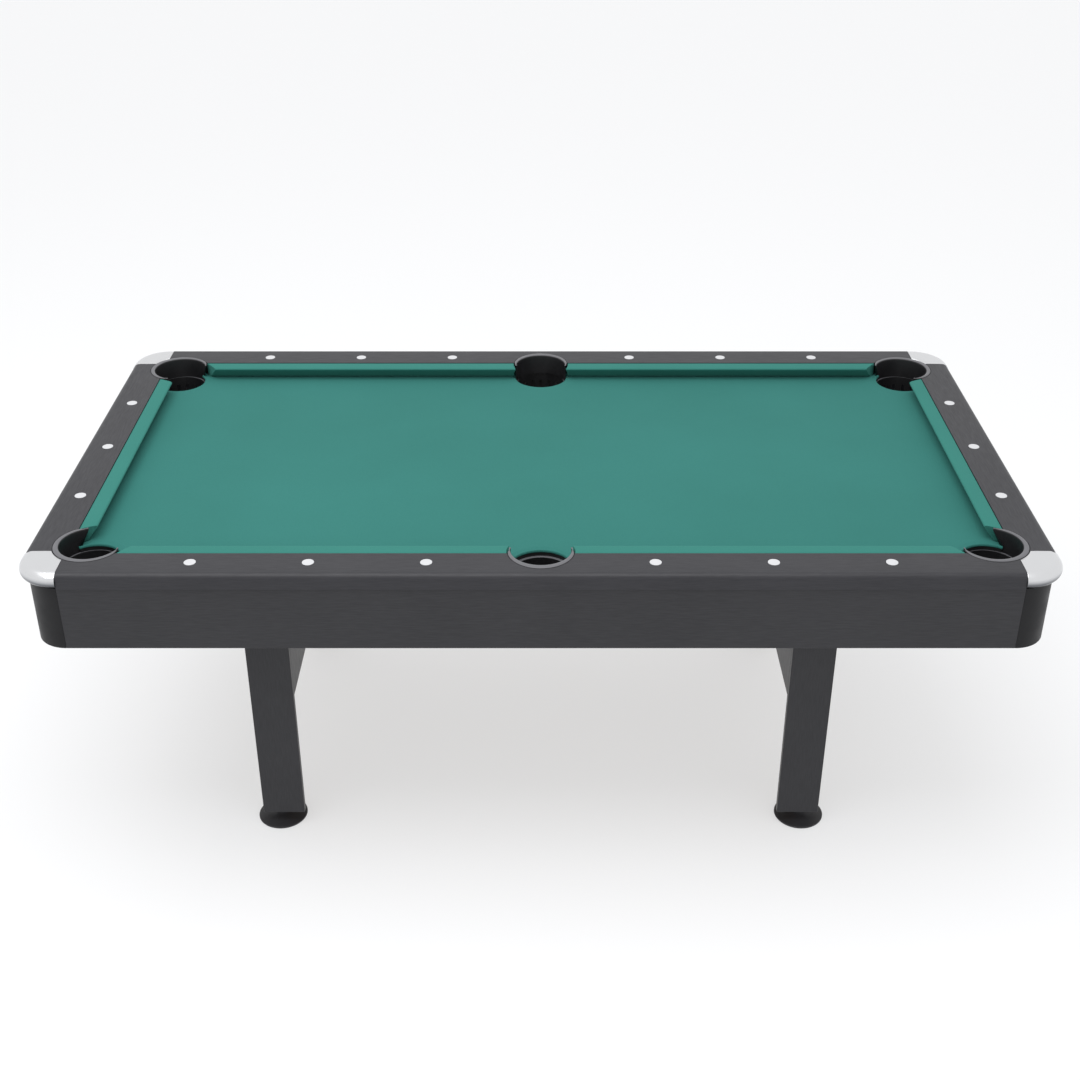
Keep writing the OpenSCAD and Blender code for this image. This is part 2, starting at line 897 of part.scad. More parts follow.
quarter(1, 1) at_corner_pocket() pocket_liner(CORNER);  // pocket_liner_rear_right
quarter(1, -1) at_middle_pocket() pocket_liner(MIDDLE);  // pocket_liner_front_middle
quarter(1, 1) at_middle_pocket() pocket_liner(MIDDLE);  // pocket_liner_rear_middle
quarter(-1, -1) at_corner_pocket() pocket_cup();  // pocket_cup_front_left
quarter(1, -1) at_corner_pocket() pocket_cup();  // pocket_cup_front_right
quarter(-1, 1) at_corner_pocket() pocket_cup();  // pocket_cup_rear_left
quarter(1, 1) at_corner_pocket() pocket_cup();  // pocket_cup_rear_right
quarter(1, -1) at_middle_pocket() pocket_cup();  // pocket_cup_front_middle
quarter(1, 1) at_middle_pocket() pocket_cup();  // pocket_cup_rear_middle
long_apron(-1);  // apron_front
long_apron(1);  // apron_rear
end_apron(-1);  // apron_left
end_apron(1);  // apron_right
apron_corner(-1, -1);  // apron_corner_front_left
apron_corner(1, -1);  // apron_corner_front_right
apron_corner(-1, 1);  // apron_corner_rear_left
apron_corner(1, 1);  // apron_corner_rear_right
corner_brackets();
bracket_screws();
leg(-1, -1);  // leg_front_left
leg(1, -1);  // leg_front_right
leg(-1, 1);  // leg_rear_left
leg(1, 1);  // leg_rear_right
leg_panel(-1);  // leg_panel_left
leg_panel(1);  // leg_panel_right
leg_blocks();
leg_bolts();
foot_inserts();
foot_stud(-1, -1);  // foot_stud_front_left
foot_stud(1, -1);  // foot_stud_front_right
foot_stud(-1, 1);  // foot_stud_rear_left
foot_stud(1, 1);  // foot_stud_rear_right
foot_pad(-1, -1);  // foot_pad_front_left
foot_pad(1, -1);  // foot_pad_front_right
foot_pad(-1, 1);  // foot_pad_rear_left
foot_pad(1, 1);  // foot_pad_rear_right
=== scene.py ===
"""A seven-foot pool table in metres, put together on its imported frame: feet, legs, bed, aprons,
pockets, rails, caps and cushions, in the order in which the real one is built."""
import math

import bmesh
import bpy
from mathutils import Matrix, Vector


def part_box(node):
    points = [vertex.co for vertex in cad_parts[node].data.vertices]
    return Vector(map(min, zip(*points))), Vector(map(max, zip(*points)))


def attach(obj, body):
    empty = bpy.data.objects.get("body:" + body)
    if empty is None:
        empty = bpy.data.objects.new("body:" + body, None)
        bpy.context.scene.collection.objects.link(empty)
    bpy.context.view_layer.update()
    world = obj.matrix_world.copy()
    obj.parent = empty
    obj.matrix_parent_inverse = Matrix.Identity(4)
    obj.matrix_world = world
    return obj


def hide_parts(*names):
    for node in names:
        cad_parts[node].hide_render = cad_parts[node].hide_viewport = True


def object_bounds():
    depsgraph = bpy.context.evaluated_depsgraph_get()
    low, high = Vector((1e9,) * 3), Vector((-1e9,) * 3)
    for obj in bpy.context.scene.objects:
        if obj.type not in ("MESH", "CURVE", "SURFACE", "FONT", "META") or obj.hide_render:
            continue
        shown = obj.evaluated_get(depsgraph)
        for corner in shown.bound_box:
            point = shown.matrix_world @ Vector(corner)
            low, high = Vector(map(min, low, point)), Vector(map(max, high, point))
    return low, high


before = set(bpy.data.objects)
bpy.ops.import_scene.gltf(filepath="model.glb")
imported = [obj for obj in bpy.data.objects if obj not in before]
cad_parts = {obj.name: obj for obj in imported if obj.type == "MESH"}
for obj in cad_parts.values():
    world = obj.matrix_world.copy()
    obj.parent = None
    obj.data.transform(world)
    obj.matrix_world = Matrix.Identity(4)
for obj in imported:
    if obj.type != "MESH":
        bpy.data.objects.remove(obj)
cad_low, cad_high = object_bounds()

# ---------------------------------------------------------------------------
# The view. A plain pale floor under an even white sky, with one wide lamp
# overhead, as in a photo studio. The camera stands in front and looks down.
# ---------------------------------------------------------------------------


def srgb(code):
    """A hex colour as linear red, green and blue, with alpha."""
    parts = [int(code[i:i + 2], 16) / 255 for i in (1, 3, 5)]
    return [p / 12.92 if p <= 0.04045 else ((p + 0.055) / 1.055) ** 2.4 for p in parts] + [1.0]


def add(tree, kind, settings=(), inputs=()):
    """Adds a node. An input that is given another node's socket is linked to it."""
    made = tree.nodes.new(kind)
    for key, value in dict(settings).items():
        setattr(made, key, value)
    for key, value in dict(inputs).items():
        if isinstance(value, bpy.types.NodeSocket):
            tree.links.new(value, made.inputs[key])
        else:
            made.inputs[key].default_value = value
    return made


def link_in(thing):
    bpy.context.scene.collection.objects.link(thing)
    return thing


def new_finish(name, colour, roughness):
    """A material with its node tree and its shader."""
    made = bpy.data.materials.new(name)
    made.use_nodes = True
    shader = made.node_tree.nodes["Principled BSDF"]
    shader.inputs["Base Color"].default_value = srgb(colour)
    shader.inputs["Roughness"].default_value = roughness
    return made, made.node_tree, shader


lens = bpy.data.cameras.new("camera")
lens.lens = 50.0
lens.sensor_width = 36.0
lens.clip_end = 200.0
camera = link_in(bpy.data.objects.new("camera", lens))
camera.location = (-0.0019, -3.1543, 2.355)
camera.rotation_euler = (math.radians(60), 0, 0)
bpy.context.scene.camera = camera
bpy.context.scene.view_settings.view_transform = "Standard"

sky = bpy.data.worlds.new("white_sky")
sky.use_nodes = True
sky.node_tree.nodes["Background"].inputs["Color"].default_value = (1.0, 1.0, 1.0, 1.0)
sky.node_tree.nodes["Background"].inputs["Strength"].default_value = 0.97
bpy.context.scene.world = sky

lamp = bpy.data.lights.new("overhead_lamp", "AREA")
lamp.shape = "RECTANGLE"
lamp.size = 4.2
lamp.size_y = 3.0
lamp.energy = 110.0
overhead = link_in(bpy.data.objects.new("overhead_lamp", lamp))
overhead.location = (-0.7, -0.9, 4.2)
overhead.rotation_euler = (math.radians(5), math.radians(-8), 0)

floor_reach = 60.0
floor_mesh = bpy.data.meshes.new("floor")
floor_mesh.from_pydata(
    [(x * floor_reach, y * floor_reach, 0.0) for x, y in ((-1, -1), (1, -1), (1, 1), (-1, 1))],
    [], [(0, 1, 2, 3)])
floor = link_in(bpy.data.objects.new("floor", floor_mesh))
floor.location.z = cad_low.z - 0.0005
# White acrylic lit a little from below, which keeps the shadow under a table pale.
floor_paint, _, floor_shader = new_finish("lit_white_floor", "#A7A8AA", 0.75)
floor_shader.inputs["Specular IOR Level"].default_value = 0.15
floor_shader.inputs["Emission Color"].default_value = srgb("#FFFFFF")
floor_shader.inputs["Emission Strength"].default_value = 0.53
floor_mesh.materials.append(floor_paint)

# ---------------------------------------------------------------------------
# Levelling feet. A disc of glass-filled nylon, moulded with a hub that turns
# freely on the end of a zinc-plated M12 stud with a lock nut under the leg.
# ---------------------------------------------------------------------------
CORNERS = {
    "front_left": (-1, -1),
    "front_right": (1, -1),
    "rear_left": (-1, 1),
    "rear_right": (1, 1),
}


def put(name, verts, faces, finish, body, nodes=(), smooth=35, flip=False):
    """Makes a mesh object of a finish, riding on a body in place of the named solids."""
    mesh = bpy.data.meshes.new(name)
    mesh.from_pydata(verts, [], [tuple(reversed(f)) for f in faces] if flip else faces)
    mesh.materials.append(finish)
    mesh.shade_smooth()
    mesh.set_sharp_from_angle(angle=math.radians(smooth))
    piece = link_in(bpy.data.objects.new(name, mesh))
    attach(piece, body)
    if nodes:
        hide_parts(*nodes)
    return piece


def strip_faces(rows, cols, closed=False):
    """The quads of a grid of points, row after row; closed joins the last row to the first."""
    last = rows if closed else rows - 1
    return [
        (i * cols + j, (i + 1) % rows * cols + j, (i + 1) % rows * cols + j + 1, i * cols + j + 1)
        for i in range(last)
        for j in range(cols - 1)
    ]


def tube_faces(rows, cols):
    """The faces of a solid swept through rows of a closed outline, with both ends shut."""
    faces = strip_faces(rows, cols)
    for i in range(rows - 1):
        faces.append((i * cols + cols - 1, (i + 1) * cols + cols - 1, (i + 1) * cols, i * cols))
    faces.append(tuple(range(cols)))
    faces.append(tuple(reversed(range((rows - 1) * cols, rows * cols))))
    return faces


def turned(profile, centre, steps=64):
    """A closed solid of revolution from points of radius and height, the axis being upright."""
    verts = []
    for i in range(steps):
        turn = 2 * math.pi * i / steps
        for radius, height in profile[1:-1]:
            verts.append((centre.x + radius * math.cos(turn), centre.y + radius * math.sin(turn), height))
    cols = len(profile) - 2
    faces = strip_faces(steps, cols, closed=True)
    for height, column, backwards in ((profile[0][1], 0, True), (profile[-1][1], cols - 1, False)):
        verts.append((centre.x, centre.y, height))
        pole = len(verts) - 1
        for i in range(steps):
            ring = (i * cols + column, (i + 1) % steps * cols + column)
            faces.append((ring[1], ring[0], pole) if backwards else (ring[0], ring[1], pole))
    return verts, faces


def middle(node):
    low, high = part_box(node)
    return (low + high) / 2


def moulded(name, colour, roughness, grit, shine=0.35):
    """Black plastic out of an etched mould: a fine satin grit that scatters the highlights.
    The grit is 0.2 to 0.4 mm on the real piece and is drawn coarser, at the size given."""
    made, tree, shader = new_finish(name, colour, roughness)
    shader.inputs["Specular IOR Level"].default_value = shine
    place = add(tree, "ShaderNodeTexCoord").outputs["Object"]
    spark = add(tree, "ShaderNodeTexNoise", {}, {"Vector": place, "Scale": 1 / grit, "Detail": 2.0})
    patch = add(tree, "ShaderNodeTexNoise", {}, {"Vector": place, "Scale": 22.0, "Detail": 3.0})
    dull = add(tree, "ShaderNodeMapRange", {}, {
        "Value": patch.outputs["Fac"], "From Min": 0.35, "From Max": 0.65,
        "To Min": roughness - 0.05, "To Max": roughness + 0.07})
    tree.links.new(dull.outputs["Result"], shader.inputs["Roughness"])
    bump = add(tree, "ShaderNodeBump", {}, {
        "Strength": 0.35, "Distance": 0.0002, "Height": spark.outputs["Fac"]})
    tree.links.new(bump.outputs["Normal"], shader.inputs["Normal"])
    return made


def plated(name, colour, roughness):
    """Zinc-plated steel: a bright, slightly cloudy grey metal with fine drawn lines."""
    made, tree, shader = new_finish(name, colour, roughness)
    shader.inputs["Metallic"].default_value = 1.0
    place = add(tree, "ShaderNodeTexCoord").outputs["Object"]
    cloud = add(tree, "ShaderNodeTexNoise", {}, {"Vector": place, "Scale": 240.0, "Detail": 4.0})
    tone = add(tree, "ShaderNodeMapRange", {}, {
        "Value": cloud.outputs["Fac"], "From Min": 0.3, "From Max": 0.7,
        "To Min": roughness - 0.08, "To Max": roughness + 0.1})
    tree.links.new(tone.outputs["Result"], shader.inputs["Roughness"])
    return made


nylon = moulded("glass_filled_nylon", "#29292C", 0.45, 0.0012)
zinc = plated("zinc_plated_steel", "#A9ABAE", 0.35)

thread_pitch = 0.00175
thread_depth = 0.0010
nut_flats = 0.019
for corner in CORNERS:
    pad_low, pad_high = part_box("foot_pad_" + corner)
    stud_low, stud_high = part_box("foot_stud_" + corner)
    hub = middle("foot_pad_" + corner)
    disc = (pad_high.x - pad_low.x) / 2
    top = pad_high.z
    outline = [
        (0, 0), (disc - 0.0035, 0), (disc - 0.001, 0.0006), (disc, 0.002), (disc, 0.0036),
        (disc - 0.0012, 0.0052),
        (disc - 0.0045, 0.0062), (disc * 0.8, 0.0084), (disc * 0.6, 0.0108), (disc * 0.45, 0.0134),
        (0.0215, 0.0158), (0.0193, 0.0178), (0.019, 0.0195), (0.0188, top - 0.0012), (0.0176, top - 0.0001),
        (0.0165, top), (0.009, top), (0.0085, top - 0.001), (0, top - 0.001),
    ]
    verts, faces = turned(outline, hub, 96)
    put("foot_disc_" + corner, verts, faces, nylon, "foot_pad_" + corner,
        ["foot_pad_" + corner])

    # The stud: a collar, a nut and the thread, whose ridge climbs round it as one long strip.
    rod = 0.006
    base = stud_low.z
    collar = [
        (0, base), (rod - 0.0008, base), (rod, base + 0.0008), (rod, top + 0.0002),
        (0.0133, top + 0.0002), (0.014, top + 0.0008), (0.014, top + 0.0034), (0.0133, top + 0.0042),
        (rod - thread_depth, top + 0.0042), (rod - thread_depth, stud_high.z - 0.001),
        (rod - thread_depth - 0.001, stud_high.z), (0, stud_high.z),
    ]
    verts, faces = turned(collar, hub, 40)
    around = 24
    first = top + 0.004
    laps = int((stud_high.z - 0.001 - first) / thread_pitch) - 1
    start = len(verts)
    for k in range(around * laps + 1):
        turn = 2 * math.pi * k / around
        climb = first + thread_pitch * k / around
        for out, up in ((-thread_depth * 1.05, 0.05), (0, 0.45), (0, 0.6), (-thread_depth * 1.05, 1.0)):
            radius = rod + out
            verts.append((hub.x + radius * math.cos(turn), hub.y + radius * math.sin(turn),
                          climb + up * thread_pitch))
    faces += [tuple(start + v for v in quad) for quad in strip_faces(around * laps + 1, 4)]
    nut_low = stud_low.z + 0.0243
    nut = []
    for height, grow in ((0, 0.955), (0.0012, 1.0), (0.0068, 1.0), (0.008, 0.955)):
        for k in range(6):
            turn = math.pi / 3 * k
            radius = grow * nut_flats / 2 / math.cos(math.pi / 6)
            nut.append((hub.x + radius * math.cos(turn), hub.y + radius * math.sin(turn), nut_low + height))
    start = len(verts)
    verts += nut
    for level in range(3):
        for k in range(6):
            one, two = level * 6 + k, level * 6 + (k + 1) % 6
            faces.append((start + one, start + two, start + two + 6, start + one + 6))
    faces.append(tuple(start + k for k in reversed(range(6))))
    faces.append(tuple(start + 18 + k for k in range(6)))
    put("levelling_stud_" + corner, verts, faces, zinc, "foot_stud_" + corner,
        ["foot_stud_" + corner], smooth=28)

# ---------------------------------------------------------------------------
# Legs. Two fibreboard strips glued into an angle and wrapped in charcoal foil,
# joined in pairs by a deep panel. A block in each holds the foot's insert.
# ---------------------------------------------------------------------------


def dressed(node, finish, ease=0.0008, second=None, rule=None):
    """A copy of a solid with its facets merged and its sharp edges eased, in place of it. The
    faces that a rule picks from their middle and outward direction get a second finish."""
    solid = bmesh.new()
    solid.from_mesh(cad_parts[node].data)
    bmesh.ops.remove_doubles(solid, verts=solid.verts, dist=0.000002)
    bmesh.ops.dissolve_limit(
        solid, angle_limit=math.radians(0.6), verts=solid.verts[:], edges=solid.edges[:])
    mesh = bpy.data.meshes.new(node + "_piece")
    solid.to_mesh(mesh)
    solid.free()
    if "custom_normal" in mesh.attributes:
        mesh.attributes.remove(mesh.attributes["custom_normal"])
    mesh.materials.clear()
    mesh.materials.append(finish)
    if second:
        mesh.materials.append(second)
    for face in mesh.polygons:
        face.material_index = 1 if rule and rule(face.center, face.normal) else 0
    mesh.shade_smooth()
    mesh.set_sharp_from_angle(angle=math.radians(30))
    piece = link_in(bpy.data.objects.new(node + "_piece", mesh))
    eased = piece.modifiers.new("eased_edges", "BEVEL")
    eased.width = ease
    eased.segments = 2
    eased.limit_method = "ANGLE"
    eased.angle_limit = math.radians(40)
    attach(piece, "table")
    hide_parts(node)
    return piece


def foil(name, grain, dark, light, roughness=0.42):
    """Charcoal decor foil pressed on fibreboard: faint streaks along the board and a fine
    embossed pore. The pore is under 1 mm wide and is drawn 2.5 mm wide so that it shows."""
    made, tree, shader = new_finish(name, dark, roughness)
    shader.inputs["Specular IOR Level"].default_value = 0.3
    pore, run = 0.0025, 0.035
    stretch = [1 / pore] * 3
    stretch[grain] = 1 / run
    place = add(tree, "ShaderNodeTexCoord").outputs["Object"]
    drawn = add(tree, "ShaderNodeMapping", {}, {"Vector": place, "Scale": stretch})
    streak = add(tree, "ShaderNodeTexNoise", {}, {
        "Vector": drawn.outputs["Vector"], "Scale": 1.0, "Detail": 4.0, "Roughness": 0.62})
    cloud = add(tree, "ShaderNodeTexNoise", {}, {"Vector": place, "Scale": 6.0, "Detail": 2.0})
    both = add(tree, "ShaderNodeMath", {"operation": "MULTIPLY_ADD"}, {
        0: cloud.outputs["Fac"], 1: 0.35, 2: streak.outputs["Fac"]})
    share = add(tree, "ShaderNodeMapRange", {}, {
        "Value": both.outputs[0], "From Min": 0.48, "From Max": 0.88})
    tone = add(tree, "ShaderNodeMix", {"data_type": "RGBA"}, {
        0: share.outputs["Result"], 6: srgb(dark), 7: srgb(light)})
    tree.links.new(tone.outputs[2], shader.inputs["Base Color"])
    dull = add(tree, "ShaderNodeMapRange", {}, {
        "Value": streak.outputs["Fac"], "From Min": 0.3, "From Max": 0.7,
        "To Min": roughness + 0.06, "To Max": roughness - 0.05})
    tree.links.new(dull.outputs["Result"], shader.inputs["Roughness"])
    bump = add(tree, "ShaderNodeBump", {}, {
        "Strength": 0.3, "Distance": 0.0003, "Height": streak.outputs["Fac"]})
    tree.links.new(bump.outputs["Normal"], shader.inputs["Normal"])
    return made


leg_foil = foil("charcoal_foil_upright", 2, "#27272A", "#2F2F32")
fibre, fibre_tree, fibre_shader = new_finish("bare_fibreboard", "#8E7556", 0.85)
fibre_place = add(fibre_tree, "ShaderNodeTexCoord").outputs["Object"]
# Pressed wood fibre: a flat brown with darker flecks of 2 to 4 mm and a dry, rough surface.
fleck = add(fibre_tree, "ShaderNodeTexNoise", {}, {
    "Vector": fibre_place, "Scale": 320.0, "Detail": 5.0, "Roughness": 0.7})
fibre_mix = add(fibre_tree, "ShaderNodeMix", {"data_type": "RGBA"}, {
    0: fleck.outputs["Fac"], 6: srgb("#74593C"), 7: srgb("#A88D6A")})
fibre_tree.links.new(fibre_mix.outputs[2], fibre_shader.inputs["Base Color"])
fibre_bump = add(fibre_tree, "ShaderNodeBump", {}, {
    "Strength": 0.4, "Distance": 0.0004, "Height": fleck.outputs["Fac"]})
fibre_tree.links.new(fibre_bump.outputs["Normal"], fibre_shader.inputs["Normal"])

for corner in CORNERS:
    dressed("leg_" + corner, leg_foil, 0.001)
for side in ("left", "right"):
    dressed("leg_panel_" + side, leg_foil, 0.0008)
dressed("leg_blocks", fibre, 0.0008)
dressed("foot_inserts", zinc, 0.0004)
dressed("leg_bolts", zinc, 0.0004)

# ---------------------------------------------------------------------------
# The bed. A fibreboard panel on four cross beams, covered in blue-green pool
# cloth that is pulled tight, rolled over the pocket edges and stapled below.
# ---------------------------------------------------------------------------
dressed("bed_beams", fibre, 0.001)

rail_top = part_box("rail_rear")[1].z
cloth_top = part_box("rail_rear")[0].z
bed_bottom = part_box("bed_panel")[0].z
cloth_line_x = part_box("rail_right")[0].x
cloth_line_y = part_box("rail_rear")[0].y

# Radii of a pocket's rim, mouth and hole, the mouth's shift towards the bed, and how far past the
# pocket's centre the rim reaches at its top and the wall at the bed.
corner_mouth = {
    "rim": 0.074, "mouth": 0.064, "shift": 0.0035, "reach": 0.037, "low_reach": 0.0085, "hole": 0.061}
middle_mouth = {
    "rim": 0.070, "mouth": 0.063, "shift": 0.008, "reach": 0.014, "low_reach": 0.008, "hole": 0.066}
# Each pocket's way out of the table in degrees, its mouth and its centre.
POCKETS = {
    "front_left": (-135, corner_mouth, middle("pocket_cup_front_left")),
    "front_right": (-45, corner_mouth, middle("pocket_cup_front_right")),
    "rear_left": (135, corner_mouth, middle("pocket_cup_rear_left")),
    "rear_right": (45, corner_mouth, middle("pocket_cup_rear_right")),
    "front_middle": (-90, middle_mouth, middle("pocket_cup_front_middle")),
    "rear_middle": (90, middle_mouth, middle("pocket_cup_rear_middle")),
}
# The board's cut edges at the pockets are painted black, so that no bare wood shows there; the black also
# stands in for the shade inside the pocket holes, as painted shade.
edge_paint_and_shade, _, _ = new_finish("black_edge_paint", "#101012", 0.6)


def at_a_pocket(centre, outward):
    """True for an upright face within 85 mm of a pocket's middle."""
    near = min(math.hypot(centre.x - p[2].x, centre.y - p[2].y) for p in POCKETS.values())
    return abs(outward.z) < 0.5 and near < 0.085


dressed("bed_panel", fibre, 0.0004, edge_paint_and_shade, at_a_pocket)

roll_width = 0.014
roll_drop = 0.004
skirt = 0.0032


def pool_cloth(name, low, high, nap=0.0018):
    """Napped wool and nylon cloth: matt with a soft sheen at a slant, a fine twill under the
    nap and faint brushed patches. Its threads are 0.5 mm apart and are drawn 1.8 mm apart."""
    made, tree, shader = new_finish(name, low, 0.95)
    shader.inputs["Sheen Weight"].default_value = 0.12
    shader.inputs["Sheen Roughness"].default_value = 0.4
    shader.inputs["Sheen Tint"].default_value = srgb("#7FC7BD")
    shader.inputs["Specular IOR Level"].default_value = 0.12
    place = add(tree, "ShaderNodeTexCoord").outputs["Object"]
    turn = add(tree, "ShaderNodeMapping", {}, {"Vector": place, "Rotation": (0, 0, math.radians(45))})
    fuzz = add(tree, "ShaderNodeTexNoise", {}, {
        "Vector": place, "Scale": 1 / nap, "Detail": 3.0, "Roughness": 0.7})
    twill = add(tree, "ShaderNodeTexWave", {"bands_direction": "X"}, {
        "Vector": turn.outputs["Vector"], "Scale": 1 / (nap * 6.28), "Distortion": 1.2, "Detail": 1.0,
        "Detail Scale": 2.0})
    brushed = add(tree, "ShaderNodeTexNoise", {}, {"Vector": place, "Scale": 3.5, "Detail": 3.0})
    height = add(tree, "ShaderNodeMath", {"operation": "MULTIPLY_ADD"}, {
        0: twill.outputs["Fac"], 1: 0.3, 2: fuzz.outputs["Fac"]})
    mottled = add(tree, "ShaderNodeMath", {"operation": "MULTIPLY_ADD"}, {
        0: brushed.outputs["Fac"], 1: 0.5, 2: height.outputs[0]})
    share = add(tree, "ShaderNodeMapRange", {}, {
        "Value": mottled.outputs[0], "From Min": 0.5, "From Max": 1.3})
    tone = add(tree, "ShaderNodeMix", {"data_type": "RGBA"}, {
        0: share.outputs["Result"], 6: srgb(low), 7: srgb(high)})
    tree.links.new(tone.outputs[2], shader.inputs["Base Color"])
    bump = add(tree, "ShaderNodeBump", {}, {
        "Strength": 0.35, "Distance": 0.0004, "Height": height.outputs[0]})
    tree.links.new(bump.outputs["Normal"], shader.inputs["Normal"])
    return made


bed_felt = pool_cloth("blue_green_bed_cloth", "#2D665F", "#35736D")


def out_of_pocket(name, radius, turn, across=0.0):
    """A point by a pocket: radius at a turn from the way out of the table, in row axes."""
    heading, mouth, centre = POCKETS[name]
    along = math.radians(heading)
    u = radius * math.cos(turn) - across
    v = radius * math.sin(turn)
    return (centre.x + u * math.cos(along) - v * math.sin(along),
            centre.y + u * math.sin(along) + v * math.cos(along))


cloth_low, cloth_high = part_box("bed_cloth")
sheet = bmesh.new()
edges = []


def outline(points):
    """Adds a closed line of points to the cloth's pattern."""
    made = [sheet.verts.new((x, y, cloth_top)) for x, y in points]
    for one, two in zip(made, made[1:] + made[:1]):
        edges.append(sheet.edges.new((one, two)))
    return made


# The cloth is trimmed round at its corners, to clear the corner mouldings.
seam = Vector((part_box("apron_rear")[1].x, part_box("apron_right")[1].y))
trim = 0.0635
rim_line = []
for sx, sy in ((1, 1), (-1, 1), (-1, -1), (1, -1)):
    bends = [math.acos((cloth_high.x - seam.x) / trim) + math.radians(k) for k in range(0, 31, 5)]
    bends = [b for b in bends if b < math.asin((cloth_high.y - seam.y) / trim)]
    arc = [(seam.x + trim * math.cos(b), seam.y + trim * math.sin(b)) for b in bends]
    arc.append((seam.x + math.sqrt(trim ** 2 - (cloth_high.y - seam.y) ** 2), cloth_high.y))
    arc = [(sx * x, sy * y) for x, y in arc]
    rim_line += arc if sx * sy > 0 else arc[::-1]
outline(rim_line)
steps = 48
for name, (heading, mouth, centre) in POCKETS.items():
    wide = mouth["hole"] + roll_width
    wall = mouth["mouth"] + 0.0034
    lip = math.acos(-mouth["low_reach"] / wide)
    back = math.acos((mouth["shift"] - mouth["low_reach"]) / wall)
    turns = [lip + (2 * math.pi - 2 * lip) * i / steps for i in range(steps + 1)]
    ring = [out_of_pocket(name, wide, turn) for turn in turns]
    ring += [out_of_pocket(name, wall, -back + 2 * back * i / steps, mouth["shift"])
             for i in range(steps + 1)]
    made = outline(ring)
    # The roll: down a gentle slope to the hole, over its edge and a little way inside.
    slope = [(1 - t, roll_drop * t * t * (3 - 2 * t) * 0.55) for t in (0.15, 0.3, 0.45, 0.6, 0.75)]
    profile = [(mouth["hole"] + roll_width * part, fall) for part, fall in slope]
    for angle in (20, 40, 60, 78, 90):
        bend = math.radians(angle)
        profile.append((mouth["hole"] + 0.0035 * (1 - math.sin(bend)) * 0.9,
                        0.0016 + 0.0044 * (1 - math.cos(bend))))
    profile.append((mouth["hole"], roll_drop + skirt))
    rows = [made[:steps + 1]]
    for radius, fall in profile:
        row = []
        for turn in turns:
            x, y = out_of_pocket(name, radius, turn)
            row.append(sheet.verts.new((x, y, cloth_top - fall)))
        rows.append(row)
    for upper, lower in zip(rows, rows[1:]):
        for i in range(steps):
            sheet.faces.new((upper[i], upper[i + 1], lower[i + 1], lower[i]))
bmesh.ops.triangle_fill(sheet, use_beauty=True, use_dissolve=False, edges=edges, normal=(0, 0, 1))
bmesh.ops.recalc_face_normals(sheet, faces=sheet.faces[:])
if max(sheet.faces, key=lambda face: face.calc_area()).normal.z < 0:
    bmesh.ops.reverse_faces(sheet, faces=sheet.faces[:])
cloth_mesh = bpy.data.meshes.new("bed_cloth_sheet")
sheet.to_mesh(cloth_mesh)
sheet.free()
cloth_mesh.materials.append(bed_felt)
cloth_mesh.shade_smooth()
cloth_mesh.set_sharp_from_angle(angle=math.radians(50))
bed_cloth = link_in(bpy.data.objects.new("bed_cloth_sheet", cloth_mesh))
cloth_weight = bed_cloth.modifiers.new("cloth_weight", "SOLIDIFY")
cloth_weight.thickness = 0.0009
cloth_weight.offset = -1
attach(bed_cloth, "table")
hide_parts("bed_cloth")

# ---------------------------------------------------------------------------
# Aprons. Foil-faced boards hung under the rails, with black quarter-round
# mouldings of ABS at the corners, tied behind by bent steel brackets.
# ---------------------------------------------------------------------------
apron_foil_long = foil("charcoal_foil_along", 0, "#29292C", "#313134")
apron_foil_end = foil("charcoal_foil_across", 1, "#29292C", "#313134")
# The inner faces of the aprons are drawn near-black: painted shade for the unlit inside of the table.
apron_inside_shade, _, _ = new_finish("black_backing_paper", "#161618", 0.8)


def inward(centre, outward):
    """True for a face that looks towards the middle of the table."""
    return centre.x * outward.x + centre.y * outward.y < -0.3


dressed("apron_front", apron_foil_long, 0.0008, apron_inside_shade, inward)
dressed("apron_rear", apron_foil_long, 0.0008, apron_inside_shade, inward)
dressed("apron_left", apron_foil_end, 0.0008, apron_inside_shade, inward)
dressed("apron_right", apron_foil_end, 0.0008, apron_inside_shade, inward)

corner_abs = moulded("black_abs_moulding", "#18181A", 0.46, 0.0011, shine=0.22)
for corner in CORNERS:
    dressed("apron_corner_" + corner, corner_abs, 0.0006)
# The brackets are drawn in a dark zinc grey as painted shade, so that they stay out of sight in the shade
# behind the cups.
bracket_painted_shade = plated("black_passivated_zinc", "#232427", 0.5)
dressed("corner_brackets", bracket_painted_shade, 0.0005)


def islands(node):
    """The middle, low corner and high corner of each separate solid in a node."""
    solid = bmesh.new()
    solid.from_mesh(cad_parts[node].data)
    bmesh.ops.remove_doubles(solid, verts=solid.verts, dist=0.000002)
    left = set(solid.verts)
    found = []
    while left:
        group = [left.pop()]
        for vert in group:
            near = {edge.other_vert(vert) for edge in vert.link_edges} & left
            left -= near
            group.extend(near)
        low = Vector([min(v.co[i] for v in group) for i in range(3)])
        high = Vector([max(v.co[i] for v in group) for i in range(3)])
        found.append(((low + high) / 2, low, high))
    solid.free()
    return sorted(found, key=lambda item: tuple(item[0]))


